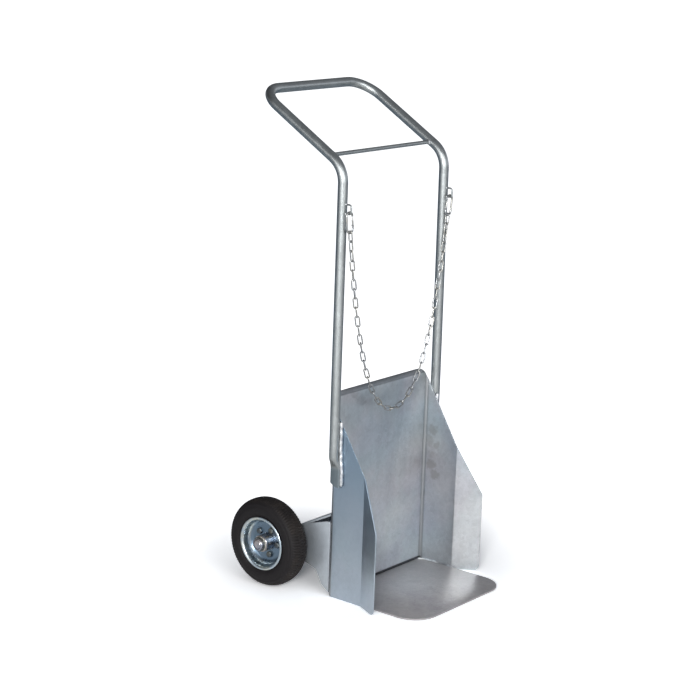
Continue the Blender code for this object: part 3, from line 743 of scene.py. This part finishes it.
def chain_eye(side, label, mat, weld):
    """U of wire welded to the front of an upright."""
    x, root = side * tube_x(EYE_Z), TUBE_Y - TUBE_R - GAP
    front = eye_low.y + EYE_WIRE
    ends = [(root, EYE_Z + EYE_HALF), (front, EYE_Z + EYE_HALF), (front, EYE_Z - EYE_HALF),
            (root, EYE_Z - EYE_HALF)]
    path = rounded([Vector((x, y, z)) for y, z in ends], 0.0055, 12)
    piece("eye_wire_" + label, sweep(path, X, EYE_WIRE, 14), mat, "frame", ["chain_eye_" + label])
    roots = bmesh.new()
    for z in (EYE_Z - EYE_HALF, EYE_Z + EYE_HALF):
        for dx in (-0.0014, 0.0014):
            start = Vector((x + dx, root + 0.0006, z - 0.0026))
            bead([start, start + Z * 0.0052], 0.0017, 0.003, bm=roots)
    piece("eye_welds_" + label, roots, weld, "frame", [])


def hook_frame(side):
    """Top contact point of a snap hook, unit vectors down it and inwards, and its oval's middle."""
    top = Vector((side * tube_x(EYE_Z), swing.y, swing.z))
    down = Vector((-side * math.sin(HOOK_TILT), 0, -math.cos(HOOK_TILT)))
    inward = Vector((-side * math.cos(HOOK_TILT), 0, math.sin(HOOK_TILT)))
    return top, down, inward, top + down * (HOOK_L / 2)


def snap_hook(side, label, mat):
    """Oval wire hook, open on its inner side, with the gate's pin through its lower end."""
    _, down, inward, middle = hook_frame(side)
    r, straight = HOOK_HALF_W, HOOK_L / 2 - HOOK_HALF_W
    end = GATE_HALF + GATE_GAP
    path = [middle + inward * r - down * end]
    for sign in (-1, 1):
        for k in range(19):
            t = math.pi * k / 18
            path.append(middle + down * (sign * (straight + r * math.sin(t)))
                        - inward * (sign * r * math.cos(t)))
    path.append(middle + inward * r + down * end)
    swell = [0.85] + [1.0] * (len(path) - 2) + [0.85]
    shape = sweep(path, Y, HOOK_WIRE, 16, swell=swell)
    pivot = gate_foot(side)
    rivet = ((0.0018, 0.0011), (0.0021, 0.0019), (0.0025, 0.0018), (0.0028, 0.0009))
    for way in (-1, 1):
        skin([circle(pivot + Y * (way * out), X, Z, radius, 14) for out, radius in rivet], bm=shape)
    piece("snap_hook_wire_" + label, shape, mat, "chain", ["snap_hook_" + label])


def gate_foot(side):
    return Vector(joint("gate_left_open" if side < 0 else "gate_right_open")["pos_m"])


def hook_gate(side, label, mat):
    """Straight gate with round ends; it turns inwards about its lower end."""
    _, down, inward, _ = hook_frame(side)
    low = gate_foot(side)
    reach = 2 * GATE_HALF - 2 * GATE_WIRE
    rings = []
    for k in range(13):
        t = math.pi * (k / 12 - 0.5)
        past = GATE_WIRE * math.sin(t)
        along = past if k < 6 else reach * (k - 6) / 6 + past * 0.6
        radius = GATE_WIRE * (max(math.cos(t), 0.18) ** 0.5 if k < 6 or k > 10 else 1.0)
        rings.append(circle(low - down * along, inward, Y, radius, 14))
    piece("gate_wire_" + label, skin(rings), mat, "gate_" + label, ["hook_gate_" + label])


def chain_links():
    """The chain's stations along a catenary between the two hooks: strand, start and end of each link."""
    top, down, _, _ = hook_frame(1)
    right = top + down * (HOOK_L - HOOK_WIRE - LINK_WIRE - GAP)
    spans, s = [], 0.0
    for strand, count in enumerate(STRANDS):
        for _ in range(count):
            spans.append((strand, s, s + LINK_PITCH + LINK_BITE))
            s += LINK_PITCH
        s -= STRAND_STEP
    half_length = spans[-1][2] / 2
    low, high = 0.01, 1.0
    for _ in range(60):
        a = (low + high) / 2
        low, high = (a, high) if a * math.sinh(right.x / a) > half_length else (low, a)
    bottom = right.z - (math.hypot(a, half_length) - a)

    def at(s):
        s -= half_length
        return Vector((a * math.asinh(s / a), right.y, bottom + math.hypot(a, s) - a))

    return [(strand, at(s0), at(s1)) for strand, s0, s1 in spans]


def link_flat(i, count, along):
    """Direction across link i, in its own plane. Away from the hooks the chain has twisted, so that
    odd links lie open to the front left and even ones stand across."""
    crosswise = i % 2 == 1
    base = along.cross(Y) if crosswise else Y
    twisted = along.cross(LOOK) if crosswise else LOOK - along * LOOK.dot(along)
    share = smooth_step(min(i, count - 1 - i) / 5)
    flat = base.normalized() * (1 - share) + twisted.normalized() * share
    turn = Quaternion(along, math.radians(rng.uniform(-7, 7)) * share)
    flat = turn @ flat
    return (flat - along * flat.dot(along)).normalized()


def link_ring(start, end, flat, bm):
    """One long link, with the small swelling of its butt weld in one side."""
    along = (end - start).normalized()
    slack = (2 * LINK_WIRE - LINK_BITE) / 2         # neighbours' wires touch and don't sink in
    start, end = start - along * slack, end + along * slack
    r = LINK_W / 2 - LINK_WIRE
    path, swell = [], []
    for base, sign in ((end, 1), (start, -1)):
        for k in range(9):
            t = math.pi * (k / 8 - 0.5)
            point = base - along * (sign * r) + along * (sign * r * math.cos(t))
            path.append(point + flat * (sign * r * math.sin(t)))
            swell.append(0.97)
        side = (start + end) / 2 + flat * (sign * r)
        for k in (-2, -1, 0, 1, 2):
            path.append(side - along * (sign * k * 0.0011))
            swell.append(1.0 + (0.20 * math.exp(-k * k) if sign > 0 else 0.0))
    sweep(path, along.cross(flat), LINK_WIRE, 10, closed=True, bm=bm, swell=swell)


def chain(mat):
    links = chain_links()
    strands = [bmesh.new() for _ in STRANDS]
    for i, (strand, start, end) in enumerate(links):
        flat = link_flat(i, len(links), (end - start).normalized())
        link_ring(start, end, flat, strands[strand])
    for k, bm in enumerate(strands):
        name = "chain_strand_%d" % (k + 1)
        piece("links_of_" + name, bm, mat, "chain", [name])


# ---------------------------------------------------------------- wheels

def tyre_profile():
    """Outside of the tyre's outer half, from the tread's middle to under the rim's flange."""
    crown = [(0.0, WHEEL_R), (0.0045, WHEEL_R - 0.0001), (0.0060, WHEEL_R - 0.0002),
             (0.0075, WHEEL_R - 0.0004), (0.0110, WHEEL_R - 0.0012), (0.0140, WHEEL_R - 0.0022),
             (0.0170, WHEEL_R - 0.0034), (0.0195, WHEEL_R - 0.0050), (0.0212, WHEEL_R - 0.0066),
             (0.0226, WHEEL_R - 0.0084)]
    ridge = [(0.0236, WHEEL_R - 0.0100), (0.0249, WHEEL_R - 0.0112), (0.0258, WHEEL_R - 0.0128),
             (0.0257, WHEEL_R - 0.0146), (0.0262, WHEEL_R - 0.0162)]
    wall = eased([(0.0262, WHEEL_R - 0.0162), (0.0280, 0.0815), (0.0286, 0.0745), (0.0274, 0.0690),
                  (0.0246, 0.0650), (0.0240, 0.0626), (0.0232, 0.0600), (0.0210, 0.0582)])
    return crown + ridge + wall[1:]


def tread_depth(dx, turn):
    """How deep the surface lies at a place on the tread: three ribs of blocks, half a pitch apart."""
    pitch = turn * LUGS / (2 * math.pi)
    if 0.0052 < abs(dx) < 0.0068:
        return 0.0016
    if abs(dx) > 0.0068:
        pitch += 0.5
    groove = pitch % 1.0 < 0.42
    fade = smooth_step((0.0240 - abs(dx)) / 0.004)
    return 0.0018 * fade if groove else 0.0


def tyre(side, label, mat):
    """Solid rubber tyre, with real blocks all round its tread."""
    half = tyre_profile()
    profile = [(-dx, r) for dx, r in reversed(half)] + half[1:]
    rings = []
    count = LUGS * 5
    for k in range(count):
        t = 2 * math.pi * k / count
        u = Y * math.cos(t) + Z * math.sin(t)
        ring = []
        for dx, r in profile:
            depth = tread_depth(dx, t) if r > WHEEL_R - 0.0092 else 0.0
            ring.append(Vector((side * (WHEEL.x + dx), WHEEL.y, WHEEL.z)) + u * (r - depth - 0.00005))
        rings.append(ring)
    piece("tread_tyre_" + label, skin(rings, closed=True), mat, "wheel_" + label, ["tyre_" + label],
          sharp=38)


def bolt_place(k):
    t = BOLT_TURN + 2 * math.pi * k / BOLTS
    return WHEEL.y - BOLT_RING * math.cos(t), WHEEL.z + BOLT_RING * math.sin(t)


def rim_half(side, label, flip, mat):
    """Pressed rim half: web, dish, well and rolled flange."""
    hole = HUB_R + 0.0004
    front = [(0.0024, hole + 0.0002)] + eased([(0.0026, hole + 0.0040), (0.0024, 0.0400), (0.0040, 0.0455),
                                               (0.0098, 0.0508), (0.0135, 0.0524), (0.0222, 0.0534)])
    flange = [(0.0246, 0.0543), (0.0262, 0.0556), (0.0271, 0.0574), (0.0274, 0.0592), (0.0270, 0.0606),
              (0.0262, 0.0613), (0.0255, 0.0611), (0.0252, 0.0602)]
    back = eased([(0.0246, 0.0586), (0.0232, 0.0572), (0.0205, 0.0562), (0.0110, 0.0545),
                  (0.0030, 0.0492), (0.0003, 0.0440)]) + [(0.0003, hole)]
    profile = [(flip * dx, r) for dx, r in front + flange + back]
    shape = turned(profile, side, 96)
    holes = bmesh.new()
    for k in range(BOLTS):
        y, z = bolt_place(k)
        xs = [side * (WHEEL.x + dx) for dx in (-0.012, 0.012)]
        skin([circle(Vector((x, y, z)), Y, Z, BOLT_R + 0.0003, 20) for x in xs], bm=holes)
    name = "rim_%s_%s" % ("outer" if flip > 0 else "inner", label)
    piece("pressed_" + name, carved(shape, holes), mat, "wheel_" + label, [name])


def bolt_radius(form, t):
    """Radius of a bolt at a turn, on its shank, its head's round face or its hexagon."""
    if form == "hexagon":
        return HEX_R * math.cos(math.pi / 6) / math.cos(t % (math.pi / 3) - math.pi / 6)
    return BOLT_R if form == "shank" else HEX_R * 0.86


def rim_bolts(side, label, mat):
    """Hexagon bolts through both rim halves, head outside and nut inside."""
    shape = bmesh.new()
    seat, head, nut, thread, chamfer = 0.0027, 0.0053, 0.0060, 0.0025, 0.0011
    face = 0.92                                     # the chamfered face's share of the hexagon
    stations = [(seat + head, "round", 0.80), (seat + head - 0.0004, "hexagon", face),
                (seat + head - chamfer, "hexagon", 1.0), (seat, "hexagon", 1.0), (seat, "shank", 1.0),
                (-seat, "shank", 1.0), (-seat, "hexagon", 1.0), (chamfer - seat - nut, "hexagon", 1.0),
                (-seat - nut, "hexagon", face), (-seat - nut, "shank", 1.0),
                (-seat - nut - thread + 0.0005, "shank", 1.0), (-seat - nut - thread, "shank", 0.8)]
    turns = [math.pi * i / 12 for i in range(24)]
    for k in range(BOLTS):
        y, z = bolt_place(k)
        spin = rng.uniform(0, math.pi / 3)
        rings = []
        for dx, form, share in stations:
            x = side * (WHEEL.x + dx)
            reaches = [(bolt_radius(form, t) * share, t + spin) for t in turns]
            rings.append([Vector((x, y + r * math.cos(t), z + r * math.sin(t))) for r, t in reaches])
        skin(rings, bm=shape)
    nodes = ["rim_bolt_%s_%d" % (label, k + 1) for k in range(BOLTS)]
    piece("rim_bolts_" + label, shape, mat, "wheel_" + label, nodes, sharp=30)


def wheel(side, label, mats):
    tyre(side, label, mats["rubber"])
    rim_half(side, label, 1, mats["rim"])
    rim_half(side, label, -1, mats["rim"])
    rim_bolts(side, label, mats["bolts"])
    body = "wheel_" + label

    def fitting(name, node, profile, mat, on=body):
        piece(name + label, turned(profile, side, 64), mat, on, [node + label], sharp=32)

    hub = sleeve(-HUB_HALF, HUB_HALF, HUB_BORE, HUB_R, 0.0008)
    fitting("hub_barrel_", "hub_tube_", hub, mats["hub"])
    end = HUB_HALF + GAP
    flange = [(end - 0.016, BORE_R), (end + 0.0022, BORE_R), (end + 0.0022, 0.0160), (end + 0.0016, 0.0165),
              (end, 0.0165), (end, HUB_BORE - GAP), (end - 0.016, HUB_BORE - GAP)]
    fitting("flanged_bush_outer_", "bush_outer_", flange, mats["nylon"])
    fitting("flanged_bush_inner_", "bush_inner_", [(-dx, r) for dx, r in flange], mats["nylon"])
    play = end + 0.0022 + GAP
    fitting("plain_washer_", "washer_", sleeve(play, play + 0.0018, BORE_R, 0.0170, 0.0003), mats["bolts"],
            "frame")
    spacer = sleeve(CARRIER_X + GAP - WHEEL.x, -play, BORE_R, 0.0150, 0.0006)
    fitting("spacer_tube_", "wheel_spacer_", spacer, mats["bolts"], "frame")
    start = play + 0.0018 + GAP
    crown = [(start, BORE_R), (start + 0.0046, BORE_R), (start + 0.0066, BORE_R + 0.0004),
             (start + 0.0066, BORE_R + 0.0008)]
    crown += eased([(start + 0.0064, BORE_R + 0.0018), (start + 0.0052, 0.0135), (start + 0.0016, 0.0145)])
    fitting("push_cap_", "axle_cap_", crown + [(start, 0.0145)], mats["hub"], "frame")


def axle(mat):
    c = 0.0012
    stations = ((-axle_high.x, AXLE_R - c), (c - axle_high.x, AXLE_R), (axle_high.x - c, AXLE_R),
                (axle_high.x, AXLE_R - c))
    rings = [circle(Vector((x, WHEEL.y, WHEEL.z)), Y, Z, r, 48) for x, r in stations]
    piece("axle_bar", skin(rings), mat, "frame", ["axle"], sharp=30)


# ---------------------------------------------------------------- studio

def soft_box(name, place, aim, size, radiance):
    """An area light; its power follows from its size and the radiance wanted."""
    light = bpy.data.lights.new(name, "AREA")
    light.shape, light.size, light.size_y = "RECTANGLE", *size
    light.energy = radiance * math.pi * size[0] * size[1]
    obj = bpy.data.objects.new(name, light)
    obj.location = place
    obj.rotation_euler = (Vector(aim) - obj.location).to_track_quat("-Z", "Y").to_euler()
    obj.visible_camera = False
    bpy.context.collection.objects.link(obj)


def floor_white():
    """White to the camera; to the metal's reflections duller, and bluer far off behind the trolley."""
    mat = bpy.data.materials.new("floor_white")
    mat.use_nodes = True
    mat.node_tree.nodes.clear()
    n = Nodes(mat.node_tree)
    place = n.node("TexCoord").outputs["Object"]
    reach = n.node("VectorMath", {0: place}, operation="LENGTH").outputs["Value"]
    behind = n.node("VectorMath", {0: place, 1: (0.6, 0.8, 0.0)}, operation="DOT_PRODUCT").outputs["Value"]

    def far_off(near, far, start=0.30, end=1.60):
        """A value that goes from near to far with the distance from the trolley."""
        return n.ramp(reach, start, end, near, far)

    def glowing(color, strength):
        diffuse = n.node("BsdfDiffuse", {"Color": color})
        emission = n.node("Emission", {"Strength": strength})
        return n.node("AddShader", {0: diffuse.outputs[0], 1: emission.outputs[0]}).outputs[0]

    share = n.math("MULTIPLY", far_off(0.0, 1.0), n.ramp(behind, -1.3, 0.8))
    tint = n.mix(share, rgb(1.0, 1.0, 0.99), rgb(0.40, 0.51, 0.62))
    reflected = glowing(tint, far_off(0.16, 0.0, 0.25, 1.10))
    seen = glowing(far_off(1.55, 1.20), far_off(0.0, 0.85, 0.28, 0.75))
    camera_ray = n.node("LightPath").outputs["Is Camera Ray"]
    surface = n.node("MixShader", {0: camera_ray, 1: reflected, 2: seen}).outputs[0]
    n.node("OutputMaterial", {"Surface": surface})
    return mat


def floor():
    bm = bmesh.new()
    bmesh.ops.create_grid(bm, x_segments=1, y_segments=1, size=90)
    mesh = bpy.data.meshes.new("floor")
    bm.to_mesh(mesh)
    bm.free()
    mesh.materials.append(floor_white())
    obj = bpy.data.objects.new("floor", mesh)
    obj.location.z = -0.0004
    bpy.context.collection.objects.link(obj)


def world():
    """Soft studio surround: bright low down, darker overhead and behind the trolley, and a plain
    white backdrop to the camera."""
    made = bpy.data.worlds.new("studio")
    made.use_nodes = True
    n = Nodes(made.node_tree)
    background = n.tree.nodes["Background"]
    place = n.node("TexCoord").outputs["Generated"]
    _, along, height = n.node("SeparateXYZ", {0: place}).outputs
    overhead, ahead = n.remap(height, 0.0, 0.44, 1.35, 0.32), n.remap(along, -0.3, 0.9, 1.0, 0.20)
    reflected = n.math("MULTIPLY", overhead, ahead)
    camera_ray = n.node("LightPath").outputs["Is Camera Ray"]
    strength = n.node("Mix", {0: camera_ray, 2: reflected, 3: 1.1}).outputs[0]
    n.put(background.inputs["Color"], rgb(0.93, 0.97, 1.04))
    n.put(background.inputs["Strength"], strength)
    bpy.context.scene.world = made


def camera():
    data = bpy.data.cameras.new("camera")
    data.sensor_width, data.lens, data.clip_end = 36.0, LENS, 500.0
    obj = bpy.data.objects.new("camera", data)
    obj.location = EYE
    obj.rotation_mode = "QUATERNION"
    obj.rotation_quaternion = LOOK.to_track_quat("-Z", "Y") @ Quaternion(Z, ROLL)
    bpy.context.collection.objects.link(obj)
    bpy.context.scene.camera = obj


def studio():
    camera()
    world()
    floor()
    soft_box("left_box", (-5.2, -0.5, 2.0), (0, 0, 0.5), (4.8, 3.4), 1.5)
    soft_box("key_box", (-4.4, -2.6, 1.9), (0, 0, 0.3), (1.0, 1.0), 42.0)
    soft_box("front_box", (-1.9, -4.9, 2.2), (0, 0, 0.5), (3.6, 3.2), 3.1)
    bpy.context.scene.view_settings.view_transform = "Standard"


def build():
    studio()
    sheet = zinc_sheet("galvanised_sheet", (0.48, 0.52, 0.565), (0.565, 0.56, 0.575), 0.37,
                       marks=trough_scorch_and_painted_light)
    plate = zinc_sheet("galvanised_plate", (0.29, 0.28, 0.29), (0.335, 0.32, 0.32), 0.40, 0.3, 1.6)
    cheek = zinc_sheet("galvanised_carrier", (0.43, 0.465, 0.50), (0.47, 0.49, 0.51), 0.48, 0.75, 0.8)
    tube = zinc_tube("galvanised_tube", (0.365, 0.385, 0.385), 0.36)
    weld = weld_metal()
    links = zinc_plating("chain_zinc", (0.38, 0.39, 0.40), (0.40, 0.39, 0.36), 0.34)
    mats = {"rubber": tyre_rubber(), "nylon": nylon_white(),
            "rim": zinc_plating("rim_zinc", (0.50, 0.58, 0.64), (0.58, 0.60, 0.56), 0.31, 0.7, True),
            "hub": zinc_plating("hub_zinc", (0.34, 0.36, 0.42), (0.46, 0.42, 0.41), 0.26),
            "bolts": zinc_plating("bolt_zinc", (0.11, 0.13, 0.15), (0.15, 0.155, 0.14), 0.42)}
    trough(sheet)
    foot_plate(plate)
    carrier(cheek)
    tube_frame(tube)
    cross_rod(tube, weld)
    other_welds(weld)
    for side, label in SIDES:
        upright_weld(side, label, weld)
        chain_eye(side, label, tube, weld)
        snap_hook(side, label, links)
        hook_gate(side, label, links)
        wheel(side, label, mats)
    chain(links)
    axle(mats["hub"])


build()
